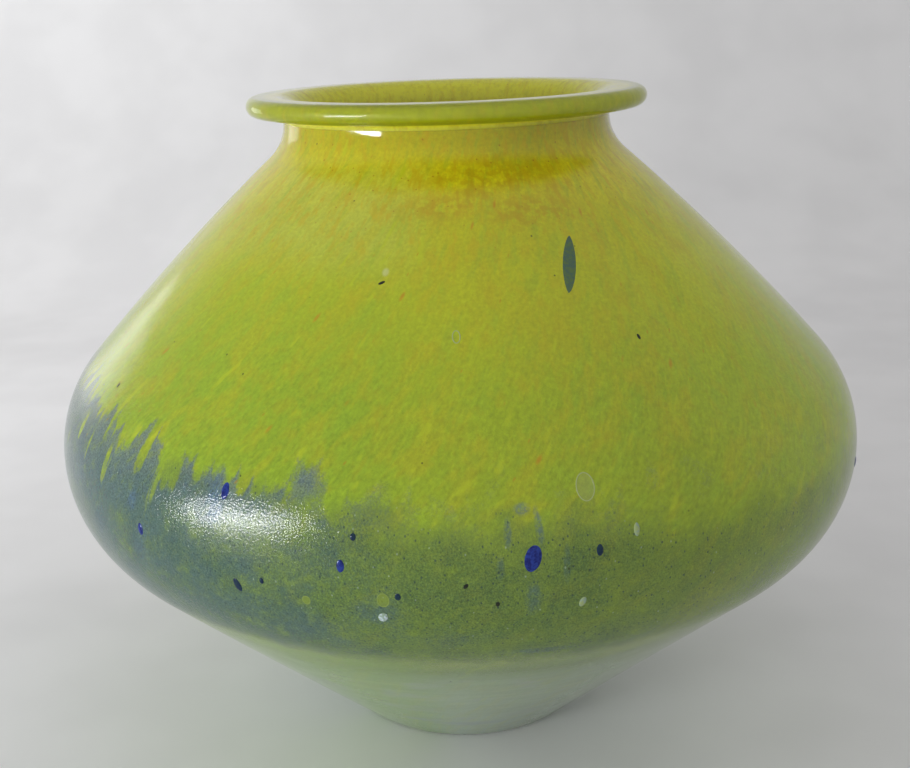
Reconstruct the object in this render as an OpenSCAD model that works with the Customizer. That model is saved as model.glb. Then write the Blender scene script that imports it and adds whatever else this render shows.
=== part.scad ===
// Hand blown art glass vase: a wide, low-shouldered body on a small foot, with a short neck
// and a flared, fire-polished lip. The wall is cased glass: a gather inside, a colour coat
// over it, a band of blue powder round the belly, and a clear casing with chips under it.
// Millimetres, +Z up, origin at the middle of the foot's flat face.

/* [Outline] */
// Height from the foot to the crest of the lip
total_h = 190; // [170:1:210]
// Radius of the foot, where the lower wall would meet the table
foot_r = 35.5; // [30:0.5:42]
// Rounding of the foot's edge
foot_round = 4; // [2:0.5:5]
// Largest radius of the belly
belly_r = 117.8; // [110:0.2:124]
// Height of the widest point of the belly
belly_z = 90.6; // [84:0.2:98]
// Radius of the arc that turns the belly from the lower wall to the shoulder
belly_arc = 38; // [30:1:46]
// Radius of the long, slightly full arc of the shoulder
shoulder_arc = 700; // [400:10:2000]
// Radius of the neck at its narrowest
neck_r = 47; // [43:0.5:50]
// Radius of the hollow curve from the shoulder into the neck
neck_arc = 14; // [10:1:18]

/* [Lip] */
// Radius of the lip
lip_r = 57.5; // [54:0.5:62]
// Thickness of the lip, which is rounded all the way
lip_t = 5.4; // [4:0.2:7]
// Rounding where the lip's underside meets the neck
lip_root = 2; // [1.5:0.5:4]

/* [Glass layers] */
// Thickness of the inner gather
gather_t = 2.2; // [1.6:0.1:3]
// Thickness of the yellow-green colour coat
coat_t = 1; // [0.8:0.1:1.4]
// Thickness of the clear outer casing
casing_t = 1.8; // [1.6:0.1:2.4]
// Height of the solid glass of the foot, below the casing
pad_h = 8; // [6:0.5:12]
// Thickness of the inner gather over the floor of the vase
floor_t = 4; // [3:0.5:8]
// Radius of the rounded corner between the floor and the wall inside
floor_round = 14; // [8:1:20]

/* [Pontil mark] */
// Radius of the ground and polished hollow under the foot
pontil_r = 13; // [8:0.5:18]
// Depth of that hollow
pontil_depth = 1.5; // [0.5:0.1:2.5]

/* [Blue band] */
// Lower edge of the band
band_low = 62; // [50:1:70]
// Level of the tips of its tongues
band_high = 115; // [108:1:118]
// Thickness of the band, which is taken from the casing
band_t = 0.8; // [0.5:0.1:0.9]
// Number of tongues along its upper edge
tongues = 24; // [12:1:36]
// Radius of the smallest scallop between two tongues
scallop_r = 6; // [4:0.5:8]

/* [Chips] */
// Glass left over a chip
chip_cover = 0.4; // [0.3:0.1:0.6]

/* [Hidden] */

wall_t = gather_t + coat_t + casing_t;
neck_z = total_h - lip_t - lip_root;
far = 2 * belly_r;

// Centres of the belly's and the neck's arcs
belly_c = [belly_r - belly_arc, belly_z];
neck_c = [neck_r + neck_arc, neck_z];
// The shoulder's arc holds the belly's arc inside it and meets the neck's from outside
span = neck_c - belly_c;
span_l = norm(span);
span_u = span / span_l;
to_belly = shoulder_arc - belly_arc;
to_neck = shoulder_arc + neck_arc;
along = (to_belly^2 - to_neck^2 + span_l^2) / (2 * span_l);
shoulder_c = belly_c + along * span_u + sqrt(to_belly^2 - along^2) * [-span_u.y, span_u.x];

// Angles, above the horizontal, that the wall faces where one stretch becomes the next
shoulder_low = direction(belly_c - shoulder_c);
shoulder_high = direction(neck_c - shoulder_c);
from_foot = belly_c - [foot_r, 0];
wall_face = direction(from_foot) - asin(belly_arc / norm(from_foot)) - 90;

function direction(v) = atan2(v.y, v.x);
function on_arc(c, r, a) = c + r * [cos(a), sin(a)];
function arc(c, r, a0, a1, n) = [for (i = [0 : n]) on_arc(c, r, a0 + (a1 - a0) * i / n)];

// Top of the straight lower wall, at a depth t under the outer surface
function wall_top(t) = on_arc(belly_c, belly_arc - t, wall_face);
// Radius of the lower wall at height z and depth t
function wall_r(z, t) = wall_top(t).x - (wall_top(t).y - z) * tan(-wall_face);
// Rounded corner of radius r between a floor at height z and the lower wall at depth t
function heel(z, t, r, n) =
    arc([wall_r(z, t) - r * tan((wall_face + 90) / 2), z + r], r, -90, wall_face, n);
// The wall from the belly's arc up to the neck, at depth t
function wall(t) = concat(
    arc(belly_c, belly_arc - t, wall_face, shoulder_low, 16),
    arc(shoulder_c, shoulder_arc - t, shoulder_low, shoulder_high, 5),
    arc(neck_c, neck_arc + t, shoulder_high + 180, 180, 6));
function backwards(list) = [for (i = [len(list) - 1 : -1 : 0]) list[i]];
// Angle above the horizontal that the outer surface faces at height z, and its radius there
function facing(z) =
    z < wall_top(0).y ? wall_face :
    z < on_arc(belly_c, belly_arc, shoulder_low).y ? asin((z - belly_z) / belly_arc) :
    asin((z - shoulder_c.y) / shoulder_arc);
function outer_r(z) =
    z < wall_top(0).y ? wall_r(z, 0) :
    z < on_arc(belly_c, belly_arc, shoulder_low).y
        ? belly_c.x + sqrt(belly_arc^2 - (z - belly_z)^2) :
    shoulder_c.x + sqrt(shoulder_arc^2 - (z - shoulder_c.y)^2);

// A layer of the wall between the depths t0 and t1, shaped as a cup on a flat floor
module cup(t0, t1, z0, z1, inner_round) {
    inside = inner_round > 0 ? heel(z1, t1, inner_round, 8) : [[wall_r(z1, t1), z1]];
    rotate_extrude($fn = 180)
        polygon(concat([[0, z0], [wall_r(z0, t0), z0]], wall(t0),
                       backwards(wall(t1)), backwards(inside), [[0, z1]]));
}

// A ring of the wall between the depths t0 and t1 and the levels z0 and z1
module ring(t0, t1, z0, z1) {
    rotate_extrude($fn = 180)
        intersection() {
            polygon(concat([[wall_r(pad_h, t0), pad_h]], wall(t0),
                           backwards(wall(t1)), [[wall_r(pad_h, t1), pad_h]]));
            translate([0, z0]) square([far, z1 - z0]);
        }
}

// Places its children on the outer surface at the azimuth az and height z, facing outwards
module on_wall(az, z) {
    rotate([0, 0, az]) translate([outer_r(z), 0, z]) rotate([0, 90 - facing(z), 0])
        rotate([0, 0, 90]) children();
}

// Rounded chip outline, w wide and h high
module oval(w, h) {
    for (s = [-1, 1]) translate([0, s * (h - w) / 2]) circle(d = w, $fn = 32);
    translate([-w / 2, -(h - w) / 2]) square([w, h - w]);
}

// Pointed leaf outline, w wide and h high
module leaf(w, h) {
    r = (w * w + h * h) / (4 * w);
    intersection_for(s = [-1, 1]) translate([s * (r - w / 2), 0]) circle(r = r, $fn = 96);
}

// Chips lie on the coat, or on the band where the band covers it
function bed(z) = z < band_high + scallop_r ? casing_t - band_t : casing_t;

// A chip's own glass: its outline pressed into the layer over its bed
module chip(az, z, h) {
    intersection() {
        ring(chip_cover, bed(z), z - h, z + h);
        on_wall(az, z) translate([0, 0, -5]) linear_extrude(10) children();
    }
}
module oval_chips(list) {
    for (c = list) chip(c[0], c[1], c[3]) rotate(c[4]) oval(c[2], c[3]);
}

// Azimuth, height, width, length and tilt of each chip; azimuth -90 is the front
cobalt_list = [[-81.6, 94, 3.9, 6.4, -14], [-103, 92, 1.9, 3.1, 0], [-132, 90.6, 2, 3.2, 10],
               [-118.2, 105.5, 2.1, 4.2, -5], [-20, 88, 2, 3.2, -10], [40, 97, 2.6, 4.4, 5],
               [118, 90, 2, 2.8, 0], [165, 99, 1.8, 3, -8]];
navy_list = [[-116.5, 83, 2, 3.8, 20], [-113, 85.5, 1.2, 1.7, 0], [-96.6, 85, 1.4, 1.9, 0],
             [-74, 94.5, 1.6, 2.8, 0], [-101.5, 99, 1.4, 1.8, 0], [10, 90, 1.8, 3.2, -15],
             [82, 84, 1.6, 2.4, 0], [140, 94, 1.8, 3, 12]];
opal_list = [[-98.5, 79, 2.2, 2.8, -20], [-75.8, 81.8, 1.6, 2.8, -15], [-69.5, 98, 1.5, 3.2, 0],
             [60, 88, 1.8, 2.4, 0], [-175, 84, 1.8, 2.6, 0]];
speck_list = [[-85.5, 83, 1.1, 1.4, 0], [-89, 88, 1, 1.6, -35], [-102.5, 149, 0.9, 2, -60],
              [-148, 119, 0.9, 1.8, -20], [-60, 135, 0.9, 1.8, 0], [30, 140, 0.9, 2, 0],
              [125, 128, 0.9, 1.8, 0]];
fleck = [-66.5, 151.2, 3.6, 19, -22];

module base_pad() {
    dimple = (pontil_r^2 + pontil_depth^2) / (2 * pontil_depth);
    color("darkseagreen") difference() {
        rotate_extrude($fn = 180)
            polygon(concat([[0, 0]], heel(0, 0, foot_round, 8),
                           [[wall_r(pad_h, 0), pad_h], [0, pad_h]]));
        translate([0, 0, pontil_depth - dimple]) sphere(r = dimple, $fn = 180);
    }
}

module inner_gather() {
    z0 = pad_h + casing_t + coat_t;
    color("palegoldenrod") cup(casing_t + coat_t, wall_t, z0, z0 + floor_t, floor_round);
}

module colour_coat() {
    color("yellowgreen")
        cup(casing_t, casing_t + coat_t, pad_h + casing_t, pad_h + casing_t + coat_t, 0);
}

// The band's tongues are what is left between scallops of three sizes in turn
module band_glass() {
    difference() {
        ring(casing_t - band_t, casing_t, band_low, band_high);
        for (i = [0 : tongues - 1]) {
            r = scallop_r * (1 + 0.15 * (i % 3));
            rotate([0, 0, 360 * i / tongues])
                translate([0, 0, band_high + r * 0.3]) rotate([0, 90, 0])
                    cylinder(r = r, h = far, $fn = 48);
        }
    }
}
module blue_band() {
    color("steelblue") band_glass();
}

module all_chips() {
    cobalt_chips();
    navy_chips();
    opal_chips();
    dark_specks();
    leaf_fleck();
}
module outer_casing() {
    color("honeydew") difference() {
        cup(0, casing_t, pad_h, pad_h + casing_t, 0);
        band_glass();
        all_chips();
    }
}

module lip() {
    bead = lip_t / 2;
    throat_r = neck_r - wall_t;
    funnel = total_h - neck_z;
    color("olivedrab") rotate_extrude($fn = 180)
        polygon(concat(
            arc([neck_r + lip_root, neck_z], lip_root, 180, 90, 5),
            arc([lip_r - bead, total_h - bead], bead, -90, 90, 14),
            arc([throat_r + funnel, neck_z], funnel, 90, 180, 10)));
}

module cobalt_chips() {
    color("mediumblue") oval_chips(cobalt_list);
}
module navy_chips() {
    color("midnightblue") oval_chips(navy_list);
}
module opal_chips() {
    color("lightcyan") oval_chips(opal_list);
}
module dark_specks() {
    color("darkslategray") oval_chips(speck_list);
}
module leaf_fleck() {
    color("slategray") chip(fleck[0], fleck[1], fleck[3])
        rotate(fleck[4]) leaf(fleck[2], fleck[3]);
}

base_pad();
inner_gather();
colour_coat();
blue_band();
outer_casing();
lip();
cobalt_chips();
navy_chips();
opal_chips();
dark_specks();
leaf_fleck();
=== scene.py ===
"""Looks of the hand blown art glass vase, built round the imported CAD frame. Metres, Z up, foot on z = 0."""

import math

import bpy
import numpy as np
from mathutils import Matrix, Vector


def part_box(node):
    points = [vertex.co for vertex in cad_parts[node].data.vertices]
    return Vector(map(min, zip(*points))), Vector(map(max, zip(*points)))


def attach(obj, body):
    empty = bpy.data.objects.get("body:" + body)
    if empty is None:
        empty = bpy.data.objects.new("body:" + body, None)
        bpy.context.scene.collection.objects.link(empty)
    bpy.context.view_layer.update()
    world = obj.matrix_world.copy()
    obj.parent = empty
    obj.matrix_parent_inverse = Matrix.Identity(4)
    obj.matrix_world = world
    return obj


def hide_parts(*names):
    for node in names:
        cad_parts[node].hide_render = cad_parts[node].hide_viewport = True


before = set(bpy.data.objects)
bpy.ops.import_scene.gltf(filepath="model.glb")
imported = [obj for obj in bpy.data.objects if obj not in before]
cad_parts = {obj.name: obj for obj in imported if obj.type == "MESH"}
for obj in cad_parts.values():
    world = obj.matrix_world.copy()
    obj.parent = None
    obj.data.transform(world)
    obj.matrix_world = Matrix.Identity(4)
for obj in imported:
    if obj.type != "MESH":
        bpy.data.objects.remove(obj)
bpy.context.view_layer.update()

MM = 0.001

# Outline: a straight lower wall, the belly's arc, the shoulder's long arc and the neck's hollow arc
TOP_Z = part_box("lip")[1].z
LIP_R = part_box("lip")[1].x
BELLY_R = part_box("outer_casing")[1].x
NECK_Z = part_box("lip")[0].z
PAD_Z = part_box("base_pad")[1].z
FOOT_R = 35.5 * MM
FOOT_ROUND = 4 * MM
BELLY_Z = 90.6 * MM
BELLY_ARC = 38 * MM
SHOULDER_ARC = 700 * MM
NECK_R = 47 * MM
NECK_ARC = 14 * MM
LIP_T = 5.4 * MM
LIP_ROOT = 2 * MM
PONTIL_R = 13 * MM
PONTIL_DEPTH = 1.5 * MM

# Layers of glass, from the outside in
CASING_T = 1.8 * MM
COAT_T = 1.0 * MM
WALL_T = 5.0 * MM
FLOOR_T = 4 * MM
FLOOR_ROUND = 14 * MM
BAND_LOW = 62 * MM
BAND_HIGH = 115 * MM
BAND_T = 0.8 * MM

# Faces round the axis, and how far streaks turn round it, in radians per millimetre of height
SEGMENTS = 288
TWIST = -0.006
BAND_TWIST = TWIST / 3

# How far the vase is from true: its foot and its neck sit to one side, and the body is slightly oval
FOOT_SHIFT = 1.8 * MM
NECK_SHIFT = 0.7 * MM
OVAL = 0.0022
THREE_SIDED = 0.0012


# ---------------------------------------------------------------- outline


def on_arc(c, r, a):
    return c + r * np.array([math.cos(a), math.sin(a)])


def arc(c, r, a0, a1, n):
    return [on_arc(c, r, a) for a in np.linspace(a0, a1, n)]


def straight(p, q, n):
    return [p + (q - p) * t for t in np.linspace(0, 1, n + 1)[1:-1]]


def direction(v):
    return math.atan2(v[1], v[0])


BELLY_C = np.array([BELLY_R - BELLY_ARC, BELLY_Z])
NECK_C = np.array([NECK_R + NECK_ARC, NECK_Z])


def shoulder_centre():
    """The shoulder's arc holds the belly's arc inside it and meets the neck's arc from outside."""
    span = NECK_C - BELLY_C
    length = np.hypot(*span)
    unit = span / length
    a, b = SHOULDER_ARC - BELLY_ARC, SHOULDER_ARC + NECK_ARC
    along = (a * a - b * b + length**2) / (2 * length)
    return BELLY_C + along * unit + math.sqrt(a * a - along**2) * np.array([-unit[1], unit[0]])


SHOULDER_C = shoulder_centre()
SHOULDER_LOW = direction(BELLY_C - SHOULDER_C)
SHOULDER_HIGH = direction(NECK_C - SHOULDER_C)
FROM_FOOT = BELLY_C - np.array([FOOT_R, 0])
WALL_FACE = direction(FROM_FOOT) - math.asin(BELLY_ARC / np.hypot(*FROM_FOOT)) - math.pi / 2


def wall_top(depth):
    return on_arc(BELLY_C, BELLY_ARC - depth, WALL_FACE)


def wall_r(z, depth):
    top = wall_top(depth)
    return top[0] - (top[1] - z) * math.tan(-WALL_FACE)


def heel(z, depth, r, n):
    """Rounded corner between a level face at z and the lower wall."""
    x = wall_r(z, depth) - r * math.tan((WALL_FACE + math.pi / 2) / 2)
    return arc(np.array([x, z + r]), r, -math.pi / 2, WALL_FACE, n)


def wall(depth, z_from, fine=1.0):
    """The wall's profile from height z_from up to the neck, at a depth under the outer surface."""
    low = np.array([wall_r(z_from, depth), z_from])
    return (
        [low]
        + straight(low, wall_top(depth), int(34 * fine))
        + arc(BELLY_C, BELLY_ARC - depth, WALL_FACE, SHOULDER_LOW, int(48 * fine))
        + arc(SHOULDER_C, SHOULDER_ARC - depth, SHOULDER_LOW, SHOULDER_HIGH, int(44 * fine))[1:]
        + arc(NECK_C, NECK_ARC + depth, SHOULDER_HIGH + math.pi, math.pi, 14)[1:]
    )


def surface(z, depth=0.0):
    """Radius, and the angle above the horizontal that the wall faces, at height z."""
    if z < wall_top(0)[1]:
        return wall_r(z, depth), WALL_FACE
    if z < on_arc(BELLY_C, BELLY_ARC, SHOULDER_LOW)[1]:
        c, r = BELLY_C, BELLY_ARC - depth
    else:
        c, r = SHOULDER_C, SHOULDER_ARC - depth
    a = math.asin((z - c[1]) / r)
    return c[0] + r * math.cos(a), a


def hand_made(p):
    """Moves points a little, the same way at every depth."""
    p = np.array(p, float)
    x, y, z = p[:, 0].copy(), p[:, 1].copy(), p[:, 2]
    az = np.arctan2(y, x)
    foot = np.clip(1 - z / 0.055, 0, 1) ** 1.6
    head = np.clip((z - 0.125) / 0.065, 0, 1)
    oval = 1 + OVAL * np.cos(2 * az + 0.6) + THREE_SIDED * np.cos(3 * az + 30 * z)
    out = p.copy()
    out[:, 0] = x * oval + FOOT_SHIFT * foot - NECK_SHIFT * head
    out[:, 1] = y * oval
    return out


# ---------------------------------------------------------------- meshes


SHARP_ANGLE = 30


def make_object(name, verts, faces, material):
    """A smooth-shaded mesh with its corners kept sharp."""
    mesh = bpy.data.meshes.new(name)
    mesh.from_pydata([tuple(v) for v in verts], [], faces)
    mesh.validate()
    mesh.polygons.foreach_set("use_smooth", [True] * len(mesh.polygons))
    mesh.set_sharp_from_angle(angle=math.radians(SHARP_ANGLE))
    obj = bpy.data.objects.new(name, mesh)
    bpy.context.collection.objects.link(obj)
    obj.data.materials.append(material)
    return obj


def revolve(profile, segments=SEGMENTS):
    """Vertices and faces of a closed solid of revolution. The profile runs anticlockwise in (r, z)."""
    profile = np.array(profile)
    on_axis = profile[:, 0] < 1e-7
    closed = not on_axis.any()
    verts, rows = [], []
    for (r, z), axis in zip(profile, on_axis):
        rows.append(len(verts))
        if axis:
            verts.append((0, 0, z))
        else:
            a = np.arange(segments) * 2 * math.pi / segments
            verts += list(zip(r * np.cos(a), r * np.sin(a), np.full(segments, z)))
    faces = []
    pairs = len(profile) if closed else len(profile) - 1
    for i in range(pairs):
        j = (i + 1) % len(profile)
        for s in range(segments):
            t = (s + 1) % segments
            if on_axis[i] and on_axis[j]:
                continue
            if on_axis[i]:
                faces.append((rows[i], rows[j] + t, rows[j] + s))
            elif on_axis[j]:
                faces.append((rows[i] + s, rows[i] + t, rows[j]))
            else:
                faces.append((rows[i] + s, rows[i] + t, rows[j] + t, rows[j] + s))
    return np.array(verts, float), faces


def turned(name, profile, material):
    verts, faces = revolve(profile)
    return make_object(name, hand_made(verts), faces, material)


# ---------------------------------------------------------------- materials


class Graph:
    """Short calls for the node trees of the materials. Every vector is in millimetres on the object."""

    def __init__(self, name):
        self.material = bpy.data.materials.new(name)
        self.material.use_nodes = True
        self.tree = self.material.node_tree
        self.tree.nodes.clear()
        self.out = self.add("ShaderNodeOutputMaterial")
        self.shader = self.add("ShaderNodeBsdfPrincipled")
        self.link(self.shader.outputs[0], self.out.inputs["Surface"])
        self.mm = self.vmath("MULTIPLY", self.add("ShaderNodeTexCoord").outputs["Object"], (1000, 1000, 1000))
        parts = self.add("ShaderNodeSeparateXYZ")
        self.link(self.mm, parts.inputs[0])
        self.x, _, self.z = parts.outputs
        self.unit = self.vmath("NORMALIZE", self.vmath("MULTIPLY", self.mm, (1, 1, 0)))

    def add(self, kind):
        return self.tree.nodes.new(kind)

    def link(self, source, socket):
        self.tree.links.new(source, socket)

    def put(self, socket, value):
        """A socket gets a link from another node's output, or a plain value."""
        if isinstance(value, bpy.types.NodeSocket):
            self.link(value, socket)
        else:
            socket.default_value = value

    def vmath(self, op, a, b=(0, 0, 0), output=0):
        n = self.add("ShaderNodeVectorMath")
        n.operation = op
        self.put(n.inputs[0], a)
        self.put(n.inputs[1], b)
        return n.outputs[output]

    def math(self, op, a, b=0.0):
        n = self.add("ShaderNodeMath")
        n.operation = op
        self.put(n.inputs[0], a)
        self.put(n.inputs[1], b)
        return n.outputs[0]

    def times(self, *values):
        total = values[0]
        for v in values[1:]:
            total = self.math("MULTIPLY", total, v)
        return total

    def plus(self, *values):
        total = values[0]
        for v in values[1:]:
            total = self.math("ADD", total, v)
        return total

    def sway(self, value, amount):
        """A noise value from 0 to 1 turned into a change from -amount to amount."""
        return self.math("MULTIPLY", self.math("SUBTRACT", value, 0.5), 2 * amount)

    def remap(self, value, low, high, to_low=0.0, to_high=1.0, smooth=True):
        n = self.add("ShaderNodeMapRange")
        n.interpolation_type = "SMOOTHSTEP" if smooth else "LINEAR"
        n.clamp = True
        self.put(n.inputs[0], value)
        for i, v in enumerate((low, high, to_low, to_high)):
            self.put(n.inputs[1 + i], v)
        return n.outputs[0]

    def mix(self, factor, a, b):
        n = self.add("ShaderNodeMix")
        n.data_type = "RGBA"
        self.put(n.inputs[0], factor)
        for socket, v in ((n.inputs[6], a), (n.inputs[7], b)):
            self.put(socket, v if isinstance(v, bpy.types.NodeSocket) else (*v, 1))
        return n.outputs[2]

    def scale_colour(self, colour, factor):
        n = self.add("ShaderNodeMix")
        n.data_type = "RGBA"
        n.blend_type = "MULTIPLY"
        n.inputs[0].default_value = 1
        self.put(n.inputs[6], colour)
        grey = self.add("ShaderNodeCombineColor")
        for s in grey.inputs:
            self.put(s, factor)
        self.link(grey.outputs[0], n.inputs[7])
        return n.outputs[2]

    def shifted(self, seed, sx=1.0, sy=1.0, sz=1.0):
        scaled = self.vmath("MULTIPLY", self.mm, (sx, sy, sz))
        return self.vmath("ADD", scaled, (seed, 1.7 * seed, 0.6 * seed))

    def along_wall(self, seed, stretch, twist=0.0):
        """Coordinates for streaks that run up the wall: a ring of 100 mm at every height, turned by twist
        radians per millimetre of height. The height counts only by the share stretch."""
        ring = self.vmath("MULTIPLY", self.unit, (100, 100, 0))
        if twist:
            n = self.add("ShaderNodeVectorRotate")
            n.rotation_type = "Z_AXIS"
            self.link(ring, n.inputs["Vector"])
            self.link(self.math("MULTIPLY", self.z, twist), n.inputs["Angle"])
            ring = n.outputs[0]
        up = self.vmath("MULTIPLY", self.mm, (0, 0, stretch))
        return self.vmath("ADD", self.vmath("ADD", ring, up), (seed, 1.7 * seed, 0.6 * seed))

    def towards(self, azimuth):
        """Cosine of the angle round the axis from that azimuth."""
        a = math.radians(azimuth)
        return self.vmath("DOT_PRODUCT", self.unit, (math.cos(a), math.sin(a), 0), 1)

    def noise(self, size, detail=2.0, vector=None, rough=0.5):
        """Noise from 0 to 1 with features of about that size, in millimetres."""
        n = self.add("ShaderNodeTexNoise")
        self.put(n.inputs["Vector"], self.mm if vector is None else vector)
        n.inputs["Scale"].default_value = 1 / size
        n.inputs["Detail"].default_value = detail
        n.inputs["Roughness"].default_value = rough
        return n.outputs[0]

    def grains(self, spacing, radius, seed=0.0, share=1.0, soft=0.35, long=0.75, where=None):
        """1 inside oval grains of that radius, one in each cell of that spacing or in a share of them."""
        n = self.add("ShaderNodeTexVoronoi")
        self.put(n.inputs["Vector"], self.shifted(seed, 1, 1, long) if where is None else where)
        n.inputs["Scale"].default_value = 1 / spacing
        r = radius / spacing
        inside = self.remap(n.outputs["Distance"], r * (1 + soft), r * (1 - soft))
        picked = self.add("ShaderNodeSeparateColor")
        self.link(n.outputs["Color"], picked.inputs[0])
        return self.times(inside, self.math("LESS_THAN", picked.outputs[0], share))

    def patch(self, azimuth, z, width, height, tilt=0.0, soft=0.5):
        """1 inside one soft oval on the wall, in degrees and millimetres."""
        r, face = surface(z * MM)
        a = math.radians(azimuth)
        place = hand_made([(r * math.cos(a), r * math.sin(a), z * MM)])[0] * 1000
        n = self.add("ShaderNodeMapping")
        n.vector_type = "TEXTURE"
        self.link(self.mm, n.inputs[0])
        n.inputs[1].default_value = place
        n.inputs[2].default_value = (-face, math.radians(tilt), a + math.pi / 2)
        n.inputs[3].default_value = (width / 2, 25, height / 2)
        away = self.vmath("LENGTH", n.outputs[0], output=1)
        return self.remap(away, 1 + soft, 1 - soft)

    def patches(self, places, soft=0.5):
        total = self.patch(*places[0], soft=soft)
        for place in places[1:]:
            total = self.math("MAXIMUM", total, self.patch(*place, soft=soft))
        return total

    def ramp(self, value, stops):
        """Colours along a value; stops are (position, colour) pairs."""
        low, high = stops[0][0], stops[-1][0]
        n = self.add("ShaderNodeValToRGB")
        self.put(n.inputs[0], self.remap(value, low, high, smooth=False))
        marks = n.color_ramp.elements
        for i, (position, colour) in enumerate(stops):
            at = (position - low) / (high - low)
            mark = marks[0] if i == 0 else marks[-1] if i == len(stops) - 1 else marks.new(at)
            mark.position = at
            mark.color = (*colour, 1)
        return n.outputs[0]

    def bump(self, height, distance):
        n = self.add("ShaderNodeBump")
        n.inputs["Strength"].default_value = 1
        n.inputs["Distance"].default_value = distance
        self.put(n.inputs["Height"], height)
        return n.outputs[0]

    def finish(self, colour, rough=0.1, normal=None, **constants):
        self.put(self.shader.inputs["Base Color"], colour if not isinstance(colour, tuple) else (*colour, 1))
        self.put(self.shader.inputs["Roughness"], rough)
        if normal is not None:
            self.link(normal, self.shader.inputs["Normal"])
        for key, value in constants.items():
            self.shader.inputs[key.replace("_", " ")].default_value = value
        return self.material


def lime_ground(g):
    """The coat's glass: grey-green at the foot, lime on the shoulder and gold at the neck, the gold painted
    brighter for light that shines through the thin glass there.
    """
    ground = g.ramp(g.z, [
        (0, (0.33, 0.41, 0.33)),
        (36, (0.335, 0.42, 0.285)),
        (48, (0.28, 0.365, 0.22)),
        (55, (0.190, 0.270, 0.098)),
        (62, (0.24, 0.335, 0.075)),
        (76, (0.25, 0.36, 0.03)),
        (100, (0.27, 0.365, 0.012)),
        (124, (0.325, 0.425, 0.010)),
        (146, (0.435, 0.485, 0.008)),
        # painted glow: from here to the lip the gold is brighter than the glass itself, for light that shines
        # through it
        (162, (0.50, 0.50, 0.005)),
        (170, (0.64, 0.59, 0.008)),
        (175, (0.58, 0.525, 0.006)),
        (180, (0.45, 0.41, 0.004)),
    ])
    above = g.remap(g.z, 56, 76, 0.25, 1.0)
    # greener on one side, paler on the other
    green = g.times(g.remap(g.towards(-120), 0.86, 0.985), g.remap(g.z, 180, 128))
    ground = g.mix(g.times(green, 0.42), ground, (0.19, 0.345, 0.018))
    ground = g.scale_colour(ground, g.remap(g.towards(-20), 0.7, 0.98, 1.0, 1.15))
    # paler, bluer veil on the left of the neck: partly smoky glass, partly a painted sheen of the light from
    # that side
    smoke_and_sheen = g.times(g.remap(g.towards(-122), 0.84, 0.99), g.remap(g.z, 146, 158), g.remap(g.z, 178, 170))
    ground = g.mix(g.times(smoke_and_sheen, 0.5), ground, (0.44, 0.50, 0.075))
    # blotches, strokes that lean with the twist of the glass, and fine grain
    blotches = g.noise(7, 3.0, g.along_wall(3, 0.7, TWIST), 0.6)
    ground = g.mix(g.times(g.remap(blotches, 0.46, 0.64), above, 0.34), ground, (0.46, 0.41, 0.006))
    green = g.remap(g.noise(4.5, 3.0, g.along_wall(15, 0.6, TWIST), 0.6), 0.50, 0.66)
    ground = g.mix(g.times(green, above, 0.30), ground, (0.26, 0.42, 0.02))
    low = g.remap(g.z, 150, 112, 0.35, 1.0)
    strokes = g.noise(0.85, 2.0, g.along_wall(11, 0.55, TWIST), 0.6)
    ground = g.scale_colour(ground, g.plus(1.0, g.times(g.sway(strokes, 0.30), above, low)))
    flakes = g.noise(1.0, 3.0, g.shifted(17), 0.65)
    ground = g.scale_colour(ground, g.plus(1.0, g.times(g.sway(flakes, 0.30), above)))
    yellow = g.remap(g.noise(3.6, 2.0, g.along_wall(23, 0.5, TWIST), 0.55), 0.61, 0.73)
    return g.mix(g.times(yellow, above, 0.55), ground, (0.46, 0.54, 0.010))


def amber(g, colour):
    """Orange grains and brown-gold veils, most of them near the neck."""
    high = g.remap(g.z, 140, 174)
    veil = g.remap(g.noise(4.2, 4.0, g.along_wall(33, 0.85), 0.68), 0.47, 0.66)
    veil = g.times(veil, g.remap(high, 0, 1, 0.18, 0.58), g.remap(g.z, 104, 124))
    colour = g.mix(veil, colour, (0.52, 0.35, 0.004))
    tanned = g.times(g.patches([(-78, 171, 34, 12), (-70, 163, 22, 10), (-92, 165, 20, 8)], 0.8),
                     g.remap(g.noise(3.0, 3.0, g.shifted(53), 0.6), 0.42, 0.58))
    colour = g.mix(g.times(tanned, 0.55), colour, (0.44, 0.28, 0.004))
    rust = g.grains(1.9, 0.21, 35, 0.42, 0.6)
    colour = g.mix(g.times(rust, high, 0.70), colour, (0.32, 0.13, 0.004))
    shown = g.remap(g.z, 99, 110)
    leaning = g.along_wall(5, 0.65, TWIST)
    big = g.times(g.grains(7.5, 0.56, 0, 0.50, 0.6, where=leaning), shown, 0.62)
    colour = g.mix(big, colour, (0.50, 0.21, 0.004))
    small = g.times(g.grains(3.4, 0.26, 0, 0.26, 0.6, where=leaning), shown, 0.55)
    return g.mix(small, colour, (0.44, 0.22, 0.005))


def band_limits(g):
    """1 inside the band: below its flames and crumbling grains, and above its soft lower edge."""
    flames = g.noise(9, 1.0, g.along_wall(7, 0.34, BAND_TWIST), 0.5)
    tips = g.noise(5.5, 1.0, g.along_wall(3, 0.28, BAND_TWIST), 0.5)
    pointed = g.remap(g.math("ABSOLUTE", g.sway(tips, 1.0)), 0.0, 0.45, smooth=False)
    crumbs = g.noise(0.9, 2.0, g.along_wall(5, 0.7, BAND_TWIST), 0.6)
    higher = g.remap(g.towards(-170), 0.80, 1.0, 0.0, 6.0)
    top_edge = g.plus(114.0, g.sway(flames, 9.0), g.times(pointed, -9.0), g.sway(crumbs, 3.0), higher)
    top = g.remap(g.math("SUBTRACT", top_edge, g.z), -1.5, 5.5)
    bottom_edge = g.plus(62.0, g.sway(g.noise(9, 3.0, g.shifted(19)), 4.0))
    bottom = g.remap(g.math("SUBTRACT", g.z, bottom_edge), -3.0, 5.0)
    return top, bottom


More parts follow.
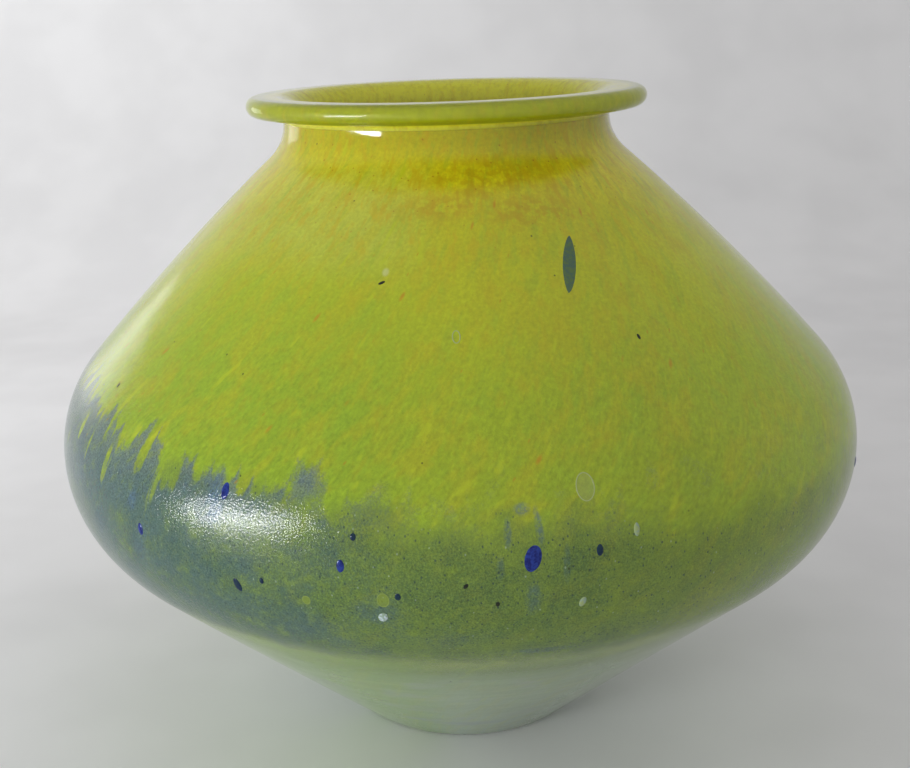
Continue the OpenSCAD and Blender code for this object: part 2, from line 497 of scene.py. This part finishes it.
def band_shares(g):
    """How much dark grain, and how much blue-grey haze, the band has at each point."""
    top, bottom = band_limits(g)
    left = g.remap(g.towards(-150), 0.38, 0.95)
    right = g.remap(g.towards(-40), 0.78, 0.98)
    # narrow gaps that let the lime glass show in the upper part of one side
    gaps = g.remap(g.noise(3.4, 2.0, g.along_wall(43, 0.20, BAND_TWIST), 0.5), 0.60, 0.70)
    there = g.times(g.remap(g.z, 88, 102), g.remap(g.towards(-165), 0.6, 0.9))
    clear = g.plus(1.0, g.times(gaps, there, -0.85))
    # dark grain
    rise_and_fall = g.sway(g.noise(13, 2.0, g.shifted(29)), 9.0)
    soft_top = g.plus(101.0, rise_and_fall, g.times(left, 5.0), g.times(right, -4.0))
    dark = g.remap(g.math("SUBTRACT", soft_top, g.z), -6.0, 10.0)
    uneven = g.plus(0.86, g.sway(g.noise(9, 3.0, g.shifted(31)), 0.40), g.times(right, -0.40))
    dark = g.times(dark, bottom, uneven, clear)
    # haze, most of it on the left, high up and at the foot of the band
    clouds = g.noise(13, 3.0, g.shifted(37, 1, 1, 1.2), 0.6)
    far_left = g.times(g.remap(g.towards(-170), 0.62, 0.92), 0.22)
    back = g.times(g.remap(g.towards(75), 0.3, 1.0), 0.45)
    sides = g.plus(g.times(left, 0.62), far_left, back, g.remap(g.z, 84, 70, 0.0, 0.16))
    upper = g.times(g.remap(g.z, 92, 106), g.remap(g.towards(-165), 0.35, 0.95), 0.42)
    haze = g.plus(sides, upper, g.sway(clouds, 0.66))
    haze = g.times(g.remap(haze, 0.10, 1.0, smooth=False), top, bottom, clear)
    scraps = g.remap(g.noise(9, 2.0, g.shifted(47)), 0.40, 0.64)
    rim = g.times(top, g.remap(g.z, 94, 104), scraps, g.remap(left, 0.0, 0.6, 0.22, 0.42))
    return dark, g.math("MAXIMUM", haze, rim)


# Azimuth and height, width and height, and tilt, as for Graph.patch
BLUE_PATCHES = [
    (-99, 80.5, 11, 8), (-114, 79, 9, 6), (-84.3, 100, 1.6, 6), (-80.8, 101, 1.6, 8, -8),
    (-82.6, 105, 3.2, 2.6), (-81.5, 84, 3.4, 8), (-85.2, 92, 1.6, 5), (-77.8, 92, 1.6, 8),
    (-133.8, 97.5, 3.2, 6), (-133, 87, 5, 10), (-150, 98, 9, 16), (-143, 86, 6, 8),
    (-119.5, 104.0, 5, 12), (-80, 66.5, 16, 2.6),
    (24, 86, 10, 7), (70, 94, 6, 12), (104, 82, 12, 7), (148, 92, 8, 12),
]
BRIGHT_PATCHES = [(-119.6, 101.5, 4.4, 8), (-132, 89.5, 3.6, 6), (-133.8, 97.5, 3, 5)]


def hazy(g, ground, haze, thick, fine, coarse, broken):
    """Lays the band's haze over the ground: olive-grey at the top, blue-grey and teal lower down."""
    olive = g.mix(g.times(thick, 0.55), ground, (0.19, 0.275, 0.035))
    blue = g.ramp(g.plus(g.z, g.sway(coarse, 14)), [
        (66, (0.110, 0.175, 0.135)),
        (84, (0.074, 0.135, 0.123)),
        (96, (0.076, 0.140, 0.130)),
        (106, (0.110, 0.165, 0.150)),
        (118, (0.15, 0.20, 0.17)),
    ])
    grey = g.mix(g.remap(haze, 0.30, 0.62), (0.155, 0.205, 0.095), blue)
    veil = g.remap(g.plus(haze, g.times(broken, g.remap(haze, 0.0, 0.3), 0.30)), 0.05, 0.85, 0.0, 0.95)
    colour = g.mix(veil, olive, grey)
    ragged = g.plus(g.noise(1.3, 2.0, g.shifted(51), 0.6), g.sway(fine, 0.4))
    spots = g.times(g.patches(BLUE_PATCHES), g.remap(ragged, 0.30, 0.62, 0.30, 1.0))
    colour = g.mix(g.times(spots, 0.58), colour, (0.070, 0.130, 0.22))
    bright = g.times(g.patches(BRIGHT_PATCHES), g.remap(fine, 0.38, 0.62, 0.1, 1.0))
    colour = g.mix(g.times(bright, 0.6), colour, (0.10, 0.20, 0.42))
    through = g.plus(g.noise(2.4, 3.0, g.along_wall(55, 0.5, TWIST), 0.65), g.sway(fine, 0.12))
    colour = g.mix(g.times(g.remap(through, 0.52, 0.66), haze, 0.50), colour, (0.19, 0.27, 0.055))
    bluish = g.plus(g.noise(2.8, 3.0, g.shifted(57), 0.65), g.sway(fine, 0.12))
    return g.mix(g.times(g.remap(bluish, 0.52, 0.66), haze, 0.42), colour, (0.070, 0.120, 0.185))


def banded(g, ground):
    """Lays the band's haze, its dark and pale grains and its bubbles over the ground."""
    dark, haze = band_shares(g)
    fine = g.noise(0.48, 1.5, g.shifted(2, 1, 1, 0.8), 0.6)
    coarse = g.noise(1.7, 3.0, g.shifted(6, 1, 1, 0.8), 0.65)
    broken = g.plus(g.sway(fine, 1.0), g.sway(coarse, 0.50))
    thick = g.remap(dark, 0.0, 0.4)
    colour = hazy(g, ground, haze, thick, fine, coarse, broken)
    # dark grains
    amount = g.remap(g.plus(g.times(dark, 0.70), g.times(broken, thick, 0.40)), 0.0, 1.0, smooth=False)
    colour = g.mix(amount, colour, g.mix(haze, (0.048, 0.105, 0.036), (0.038, 0.090, 0.090)))
    specks = g.grains(1.15, 0.23, 13, 0.5)
    colour = g.mix(g.times(specks, thick, 0.75), colour, (0.020, 0.050, 0.045))
    # pale and yellow grains
    pale = g.grains(1.9, 0.20, 27, 0.36)
    colour = g.mix(g.times(pale, thick, 0.36), colour, (0.42, 0.52, 0.42))
    lime = g.remap(g.plus(g.noise(4.2, 3.0, g.shifted(61), 0.6), g.sway(fine, 0.10)), 0.54, 0.72)
    colour = g.mix(g.times(lime, thick, g.remap(haze, 0.3, 0.8, 0.36, 0.24)), colour, (0.22, 0.32, 0.018))
    grain = g.sway(g.noise(0.45, 2.0, g.shifted(65), 0.75), 1.25)
    grainy = g.math("MAXIMUM", haze, g.times(dark, 0.8))
    colour = g.scale_colour(colour, g.plus(1.0, g.times(grain, grainy)))
    # bubbles that show the lime glass under the band
    bubble = g.patches([(-98.3, 83.9, 2.7, 3.6, -8), (-107.5, 82, 1.9, 2.3)], 0.12)
    colour = g.mix(g.times(bubble, 0.55), colour, (0.24, 0.33, 0.020))
    return g.mix(g.times(g.patch(-75, 108.4, 4.4, 6.6, soft=0.15), 0.35), colour, (0.31, 0.37, 0.13))


def foot_marks(g, colour):
    """Level tooling streaks and faint lilac smoke on the smooth glass near the foot."""
    low = g.remap(g.z, 56, 44)
    streaks = g.noise(1.6, 3.0, g.shifted(71, 0.06, 0.06, 1.0), 0.6)
    colour = g.scale_colour(colour, g.plus(1.0, g.times(g.sway(streaks, 0.16), low)))
    smoke = g.remap(g.noise(14, 2.0, g.shifted(73, 1, 1, 2.2)), 0.50, 0.72)
    colour = g.mix(g.times(smoke, low, 0.40), colour, (0.34, 0.38, 0.35))
    lilac = g.patches([(-88, 12, 20, 5), (-104, 14, 12, 4), (150, 14, 18, 5)], 0.8)
    return g.mix(g.times(lilac, 0.45), colour, (0.29, 0.33, 0.37))


def skin_relief(g):
    """Fine pebbling of the glass grains, broad waves of the hand, and smooth glass at the neck and foot."""
    pebbled = g.times(g.remap(g.z, 150, 108, 0.14, 1.0), g.remap(g.z, 48, 64, 0.10, 1.0))
    fine = g.noise(0.44, 1.0, g.shifted(81), 0.6)
    grit = g.noise(1.0, 1.0, g.shifted(83, 1, 1, 0.7), 0.5)
    pebbles = g.times(g.plus(g.times(fine, 0.085), g.times(grit, 0.034)), pebbled)
    waves = g.times(g.noise(13, 1.0, g.shifted(85)), 0.20)
    return g.bump(g.plus(pebbles, waves), MM)


def casing_glass():
    """The whole wall as it shows through the clear casing."""
    g = Graph("casing_glass")
    colour = amber(g, banded(g, lime_ground(g)))
    colour = g.mix(g.times(g.grains(5.5, 0.24, 41, 0.34), 0.8), colour, (0.035, 0.045, 0.006))
    colour = foot_marks(g, colour)
    colour = g.mix(g.times(g.patch(-102.1, 151.2, 1.6, 2.2), 0.5), colour, (0.58, 0.62, 0.30))
    # satin on the shoulder, glossier on the belly and the foot, and polished by the flame under the lip
    satin = g.remap(g.z, 170, 130, 0.22, 0.085)
    rough = g.times(satin, g.remap(g.z, 46, 64, 0.9, 1.0), g.remap(g.z, 175, 179, 1.0, 0.35))
    return g.finish(colour, rough, skin_relief(g), IOR=1.5)


def base_glass():
    g = Graph("base_glass")
    return g.finish(foot_marks(g, lime_ground(g)), 0.14, skin_relief(g), IOR=1.5)


def coat_glass():
    """The colour coat by itself, as it is under the casing."""
    g = Graph("coat_glass")
    return g.finish(amber(g, lime_ground(g)), 0.3, g.bump(g.noise(1.0, 2.0), 0.05 * MM), IOR=1.5)


def band_glass():
    """The blue band by itself."""
    g = Graph("band_glass")
    blue = g.mix(g.noise(3.0, 3.0, g.along_wall(91, 0.2)), (0.08, 0.15, 0.15), (0.17, 0.25, 0.24))
    colour = g.mix(g.times(g.grains(1.3, 0.32, 93, 0.6), 0.7), blue, (0.03, 0.07, 0.06))
    return g.finish(colour, 0.3, g.bump(g.noise(1.0, 2.0), 0.05 * MM), IOR=1.5)


def gather_glass():
    """The inside: clear glass, its colour painted bright towards the mouth for the light that shines through
    the coat behind it.
    """
    g = Graph("gather_glass")
    # painted light: brighter towards the mouth, for light that shines through the wall
    colour = g.ramp(g.z, [
        (10, (0.45, 0.52, 0.34)),
        (60, (0.34, 0.44, 0.12)),
        (85, (0.30, 0.40, 0.08)),
        (120, (0.46, 0.52, 0.04)),
        (160, (0.88, 0.86, 0.06)),
        (190, (0.98, 0.95, 0.09)),
    ])
    mottle = g.noise(2.0, 3.0, g.along_wall(101, 0.5), 0.6)
    colour = g.scale_colour(colour, g.plus(1.0, g.sway(mottle, 0.30)))
    brown = g.remap(g.noise(3.2, 3.0, g.along_wall(103, 0.6), 0.6), 0.52, 0.70)
    colour = g.mix(g.times(brown, 0.40), colour, (0.50, 0.36, 0.03))
    return g.finish(colour, 0.06, g.bump(g.noise(9, 1.0), 0.2 * MM), IOR=1.5)


def clear_lip_glass():
    g = Graph("lip_glass")
    waves = g.bump(g.noise(9, 1.0, g.along_wall(111, 1.0)), 0.10 * MM)
    tint = g.mix(g.noise(12, 1.0), (0.985, 0.995, 0.94), (0.99, 1.0, 0.97))
    return g.finish(tint, 0.02, waves, IOR=1.36, Transmission_Weight=1.0)


def lip_core_glass():
    """The coat where it runs out into the lip: gold inside the mouth, painted near white for the light that
    shines through the lip, and greener round the bead.
    """
    g = Graph("lip_core_glass")
    from_axis = g.vmath("LENGTH", g.vmath("MULTIPLY", g.mm, (1, 1, 0)), output=1)
    outside = g.remap(from_axis, 50.5, 54.5)
    # painted light: the inside of the mouth is a near white gold, for light that shines through the lip
    colour = g.mix(outside, (1.0, 0.98, 0.04), (0.51, 0.57, 0.003))
    mottle = g.noise(1.6, 4.0, g.shifted(121, 1, 1, 0.6), 0.7)
    colour = g.scale_colour(colour, g.plus(1.0, g.sway(mottle, 0.30)))
    brown = g.remap(g.noise(5.0, 4.0, g.along_wall(123, 1.0), 0.68), 0.48, 0.68)
    colour = g.mix(g.times(brown, g.remap(outside, 0, 1, 0.34, 0.26)), colour, (0.74, 0.56, 0.012))
    dots = g.grains(2.4, 0.18, 125, 0.34, 0.6)
    colour = g.mix(g.times(dots, 0.6), colour, (0.36, 0.24, 0.01))
    return g.finish(colour, 0.4, None, IOR=1.5)


def chip_glass(name, core, edge, rough=0.10):
    g = Graph(name)
    swirl = g.noise(0.9, 2.0, None, 0.5)
    colour = g.mix(g.remap(swirl, 0.35, 0.65), core, edge)
    return g.finish(colour, rough, g.bump(g.noise(1.2, 1.0), 0.05 * MM), IOR=1.36)


def opal_glass():
    g = Graph("opal_glass")
    white = g.patch(-98.5, 79, 8, 8, soft=0.2)
    colour = g.mix(white, (0.32, 0.40, 0.16), (0.50, 0.60, 0.64))
    colour = g.mix(g.remap(g.noise(0.8, 1.0), 0.4, 0.6), colour, (0.26, 0.36, 0.26))
    return g.finish(colour, 0.12, None, IOR=1.5)


def bubble_glass():
    """Rims of bubbles, which pick up the light a little."""
    g = Graph("bubble_glass")
    pale = g.patches([(-75, 108.4, 9, 11), (-96.5, 84.4, 3.4, 4), (-89.2, 138.2, 6, 8)], 0.3)
    return g.finish(g.mix(pale, (0.22, 0.30, 0.06), (0.36, 0.43, 0.16)), 0.1, None, IOR=1.5)


# ---------------------------------------------------------------- the glass


def make_pad():
    hollow_r = (PONTIL_R**2 + PONTIL_DEPTH**2) / (2 * PONTIL_DEPTH)
    centre = np.array([0, PONTIL_DEPTH - hollow_r])
    reach = math.acos(PONTIL_R / hollow_r)
    hollow = [np.array([0, PONTIL_DEPTH])] + arc(centre, hollow_r, math.radians(88.5), reach, 8)
    rim = heel(0, 0, FOOT_ROUND, 10)
    top = [np.array([wall_r(PAD_Z, 0), PAD_Z]), np.array([0, PAD_Z])]
    return turned("base_pad", hollow + rim + top, base_glass())


def make_gather():
    z0 = PAD_Z + CASING_T + COAT_T
    z1 = z0 + FLOOR_T
    floor = heel(z1, WALL_T, FLOOR_ROUND, 14)
    outer = [np.array([0, z0])] + wall(CASING_T + COAT_T, z0, 0.5)
    inner = floor + wall(WALL_T, floor[-1][1], 0.7)[1:]
    return turned("inner_gather", outer + inner[::-1] + [np.array([0, z1])], gather_glass())


def make_coat():
    """A cup of even thickness between the gather and the casing."""
    z0 = PAD_Z + CASING_T
    outer = [np.array([0, z0])] + wall(CASING_T, z0, 0.6)
    inner = wall(CASING_T + COAT_T, z0 + COAT_T, 0.6)
    return turned("colour_coat", outer + inner[::-1] + [np.array([0, z0 + COAT_T])], coat_glass())


def make_band():
    """A thin ring laid on the coat; its upper edge rises and falls in tongues."""
    rows = 30
    up = [i / (rows - 1) for i in range(rows)]
    rings = [(share, CASING_T - BAND_T) for share in up] + [(share, CASING_T) for share in reversed(up)]
    verts, faces = [], []
    for share, depth in rings:
        for s in range(SEGMENTS):
            a = s * 2 * math.pi / SEGMENTS
            tongues = 2.2 * MM * math.sin(12 * a) + 1.6 * MM * math.sin(29 * a + 1)
            top = BAND_HIGH - 3 * MM + tongues
            z = BAND_LOW + (top - BAND_LOW) * share
            r = surface(z, depth)[0]
            verts.append((r * math.cos(a), r * math.sin(a), z))
    for i in range(len(rings)):
        j = (i + 1) % len(rings)
        for s in range(SEGMENTS):
            t = (s + 1) % SEGMENTS
            faces.append((i * SEGMENTS + s, i * SEGMENTS + t, j * SEGMENTS + t, j * SEGMENTS + s))
    return make_object("blue_band", hand_made(verts), faces, band_glass())


def make_casing():
    outer = wall(0.0, PAD_Z)
    inner = wall(CASING_T, PAD_Z + CASING_T, 0.6)
    profile = outer + inner[::-1] + [np.array([0, PAD_Z + CASING_T]), np.array([0, PAD_Z])]
    return turned("outer_casing", [profile[-1]] + profile[:-1], casing_glass())


def lip_profile(shrink=0.0):
    """The rolled lip, or a shape that lies that far inside it; at its root the two nearly touch."""
    funnel = TOP_Z - NECK_Z
    root = np.array([NECK_R + LIP_ROOT, NECK_Z])
    bead = np.array([LIP_R - LIP_T / 2, TOP_Z - LIP_T / 2])
    throat = np.array([NECK_R - WALL_T + funnel, NECK_Z])
    return (
        arc(root, LIP_ROOT + 0.2 * shrink, math.pi, math.pi / 2, 8)
        + arc(bead, LIP_T / 2 - shrink, -math.pi / 2, math.pi / 2, 22)
        + arc(throat, funnel - shrink, math.pi / 2, math.pi, 20)
    )


def make_lip():
    return turned("lip", lip_profile(), clear_lip_glass())


def make_lip_core():
    return turned("lip_core", lip_profile(1.15 * MM), lip_core_glass())


RIM_DIP = 0.02 * MM


def on_wall(az, z, face, u, v, h):
    """The point u along the wall and v up it from a place that faces that way, and h out of the surface."""
    r, f = surface(z + v * math.cos(face))
    a = az + u / r
    x = r + h * math.cos(f)
    return (x * math.cos(a), x * math.sin(a), z + v * math.cos(face) + h * math.sin(f))


def lens(az_deg, z, width, length, tilt=0.0, rise=0.18 * MM, sink=0.8 * MM, point=0.0, rings=7, spokes=40):
    """A chip: an oval or leaf-shaped dome on the wall, closed underneath, with its rim just sunk in."""
    face = surface(z)[1]
    az = math.radians(az_deg)
    ct, st = math.cos(math.radians(tilt)), math.sin(math.radians(tilt))

    def place(u, v, h):
        return on_wall(az, z, face, ct * u - st * v, st * u + ct * v, h)

    def rim(k):
        c, s = math.cos(2 * math.pi * k / spokes), math.sin(2 * math.pi * k / spokes)
        return math.copysign(abs(c) ** (1 + point), c) * width / 2, s * length / 2

    verts, faces = [place(0, 0, rise)], []
    for i in range(1, rings + 1):
        t = i / rings
        for k in range(spokes):
            u, v = rim(k)
            verts.append(place(u * t, v * t, rise * (1 - t**4) - RIM_DIP * t**16))
    base = len(verts)
    for k in range(spokes):
        verts.append(place(*rim(k), -sink))
    verts.append(place(0, 0, -sink))
    last = 1 + (rings - 1) * spokes
    for k in range(spokes):
        n = (k + 1) % spokes
        faces.append((0, 1 + k, 1 + n))
        for i in range(rings - 1):
            a, b = 1 + i * spokes, 1 + (i + 1) * spokes
            faces.append((a + k, b + k, b + n, a + n))
        faces.append((last + k, base + k, base + n, last + n))
        faces.append((base + k, base + spokes, base + n))
    return np.array(verts), faces


def ring(az_deg, z, width, length, tilt=0.0, line=0.26 * MM, rise=0.10 * MM, spokes=48):
    """The rim of a bubble: a low oval ring with a round section."""
    face = surface(z)[1]
    az = math.radians(az_deg)
    verts, faces = [], []
    for k in range(spokes):
        t = 2 * math.pi * k / spokes
        for c in range(8):
            b = 2 * math.pi * c / 8
            u = (width / 2 + line * math.cos(b)) * math.cos(t)
            v = (length / 2 + line * math.cos(b)) * math.sin(t)
            h = rise * math.sin(b)
            verts.append(on_wall(az, z, face, u, v, h))
    for k in range(spokes):
        n = (k + 1) % spokes
        for c in range(8):
            d = (c + 1) % 8
            faces.append((k * 8 + c, n * 8 + c, n * 8 + d, k * 8 + d))
    return np.array(verts), faces


def scattered(name, places, material, shape=lens, **options):
    """One mesh of small pieces. A place is azimuth, height, width, length and tilt, in degrees and mm."""
    verts, faces, start = [], [], 0
    for az, z, w, h, tilt in places:
        v, f = shape(az, z * MM, w * MM, h * MM, tilt, **options)
        faces += [tuple(i + start for i in face) for face in f]
        verts.append(v)
        start += len(v)
    return make_object(name, hand_made(np.concatenate(verts)), faces, material)


casing = make_casing()
coat = make_coat()
band = make_band()
pad = make_pad()
gather = make_gather()
lip = make_lip()
lip_core = make_lip_core()

cobalt_glass = chip_glass("cobalt_glass", (0.016, 0.040, 0.26), (0.004, 0.010, 0.12))
cobalt = scattered("cobalt_chips", [
    (-81.6, 94, 3.9, 6.4, -14), (-103, 92, 1.9, 3.1, 0), (-132, 90.6, 2, 3.2, 10),
    (-118.2, 105.5, 2.1, 4.2, -5),
    (-20, 88, 2, 3.2, -10), (40, 97, 2.6, 4.4, 5), (118, 90, 2, 2.8, 0), (165, 99, 1.8, 3, -8),
], cobalt_glass)

navy_glass = chip_glass("navy_glass", (0.003, 0.016, 0.055), (0.008, 0.030, 0.052))
navy = scattered("navy_chips", [
    (-116.5, 83, 2, 3.8, 20), (-113, 85.5, 1.2, 1.7, 0), (-96.6, 85, 1.4, 1.9, 0),
    (-74, 94.5, 1.6, 2.8, 0), (-101.5, 99, 1.4, 1.8, 0),
    (10, 90, 1.8, 3.2, -15), (82, 84, 1.6, 2.4, 0), (140, 94, 1.8, 3, 12),
], navy_glass)

opal = scattered("opal_chips", [
    (-98.5, 79, 2.2, 2.8, -20), (-75.8, 81.8, 1.6, 2.8, -15), (-69.5, 98, 1.5, 3.2, 0),
    (60, 88, 1.8, 2.4, 0), (-175, 84, 1.8, 2.6, 0),
], opal_glass())

speck_glass = chip_glass("speck_glass", (0.010, 0.014, 0.008), (0.022, 0.028, 0.012), 0.30)
specks = scattered("dark_specks", [
    (-85.5, 83, 1.1, 1.4, 0), (-89, 88, 1, 1.6, -35), (-102.5, 149, 0.9, 2, -60),
    (-148, 119, 0.9, 1.8, -20), (-60, 135, 0.9, 1.8, 0), (30, 140, 0.9, 2, 0), (125, 128, 0.9, 1.8, 0),
], speck_glass, rings=3, spokes=16, rise=0.05 * MM)

fleck_glass = chip_glass("fleck_glass", (0.070, 0.13, 0.095), (0.10, 0.165, 0.055))
fleck = scattered("leaf_fleck", [
    (-66.5, 151.2, 3.6, 19, -22),
], fleck_glass, point=0.4, rise=0.06 * MM, rings=10)

bubbles = scattered("bubble_rims", [
    (-75, 108.4, 4.2, 6.4, 0), (-98.3, 83.9, 2.7, 3.6, -8), (-89.2, 138.2, 1.8, 3.4, -10),
    (-107.5, 82, 1.9, 2.3, 0),
    (52, 118, 2.6, 4.0, 0), (110, 104, 3.4, 5.0, 8), (178, 126, 2.0, 3.4, 0),
], bubble_glass(), ring, line=0.13 * MM, rise=0.05 * MM)

for piece, nodes, slot in (
    (casing, ["outer_casing"], "coat_glass"),
    (coat, ["colour_coat"], "coat_glass"),
    (band, ["blue_band"], "band_glass"),
    (pad, ["base_pad"], "base_glass"),
    (gather, ["inner_gather"], "gather_glass"),
    (lip, ["lip"], "lip_glass"),
    (lip_core, [], "lip_glass"),
    (cobalt, ["cobalt_chips"], "cobalt_glass"),
    (navy, ["navy_chips"], "navy_glass"),
    (opal, ["opal_chips"], "opal_glass"),
    (specks, ["dark_specks"], "speck_glass"),
    (fleck, ["leaf_fleck"], "fleck_glass"),
    (bubbles, [], "coat_glass"),
):
    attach(piece, "root")
    if nodes:
        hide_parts(*nodes)


# ---------------------------------------------------------------- stage, light and camera


def make_stage():
    """A level floor that turns up into a wall behind the vase."""
    g = Graph("studio_floor")
    patchy = g.remap(g.noise(60, 2.0), 0.3, 0.7, 0.97, 1.03)
    # tone that varies at random, plus painted light: the floor brighter than the wall, the left brighter and
    # the right darker, as the light falls
    patchy_tone_and_painted_light = g.times(patchy, g.remap(g.z, 0, 60, 1.08, 1.0), g.remap(g.x, -200, 260, 1.06, 0.93))
    colour = g.scale_colour((0.80, 0.80, 0.81, 1), patchy_tone_and_painted_light)
    floor_mat = g.finish(colour, 0.40, None, Specular_IOR_Level=0.4)
    depth, height, bend = 0.80, 2.2, 0.30
    profile = [(-1.6, 0.0), (0.0, 0.0), (depth - bend, 0.0)]
    for t in np.linspace(0, math.pi / 2, 12)[1:]:
        profile.append((depth - bend + bend * math.sin(t), bend - bend * math.cos(t)))
    profile.append((depth, height))
    verts = [(x, y, z) for y, z in profile for x in (-2.5, 2.5)]
    faces = [(2 * i, 2 * i + 1, 2 * i + 3, 2 * i + 2) for i in range(len(profile) - 1)]
    make_object("floor", np.array(verts), faces, floor_mat)


def make_light(name, place, width, height, watts, colour=(1, 1, 1), roll=0.0, aim=(0, 0, 0.1)):
    """A soft light at that place, turned to the vase or another aim and rolled by that many degrees."""
    data = bpy.data.lights.new(name, "AREA")
    data.shape = "RECTANGLE"
    data.size, data.size_y = width, height
    data.energy = watts
    data.color = colour
    obj = bpy.data.objects.new(name, data)
    obj.location = place
    turn = (Vector(aim) - Vector(place)).to_track_quat("-Z", "Y").to_matrix()
    obj.rotation_euler = (turn @ Matrix.Rotation(math.radians(roll), 3, "Z")).to_euler()
    bpy.context.collection.objects.link(obj)


def make_world():
    world = bpy.data.worlds.new("studio")
    world.use_nodes = True
    back = world.node_tree.nodes["Background"]
    back.inputs[0].default_value = (1.0, 0.985, 0.97, 1)
    back.inputs[1].default_value = 0.60
    bpy.context.scene.world = world


def make_camera():
    """Camera at the height and tilt from which the vase was seen, with a slight roll."""
    data = bpy.data.cameras.new("camera")
    data.sensor_width = 36
    data.lens = 51.42857
    data.shift_x = 0.0824
    cam = bpy.data.objects.new("camera", data)
    pitch, roll, yaw = (math.radians(a) for a in (16.286, 2.13, -3.332))
    ahead = Vector((math.sin(yaw), math.cos(yaw), 0))
    forward = ahead * math.cos(pitch) + Vector((0, 0, -math.sin(pitch)))
    right0 = Vector((math.cos(yaw), -math.sin(yaw), 0))
    up0 = right0.cross(forward)
    right = right0 * math.cos(roll) - up0 * math.sin(roll)
    up = right0 * math.sin(roll) + up0 * math.cos(roll)
    turn = Matrix((right, up, -forward)).transposed()
    eye = (0, -0.38554, 0.2143)
    cam.matrix_world = Matrix.Translation(eye) @ turn.to_4x4()
    bpy.context.collection.objects.link(cam)
    bpy.context.scene.camera = cam


make_stage()
make_world()
make_light("window", (-0.985, -0.660, 0.135), 0.58, 0.075, 7.2, (0.95, 0.975, 1.0), roll=14)
make_light("far_window", (-0.37, 0.29, 0.165), 0.13, 0.13, 0.065, (0.97, 0.98, 1.0))
make_light("wall_wash", (-0.45, 0.30, 0.50), 0.40, 0.40, 0.5, aim=(-0.60, 0.80, 0.0))
make_camera()
bpy.context.scene.view_settings.view_transform = "Standard"
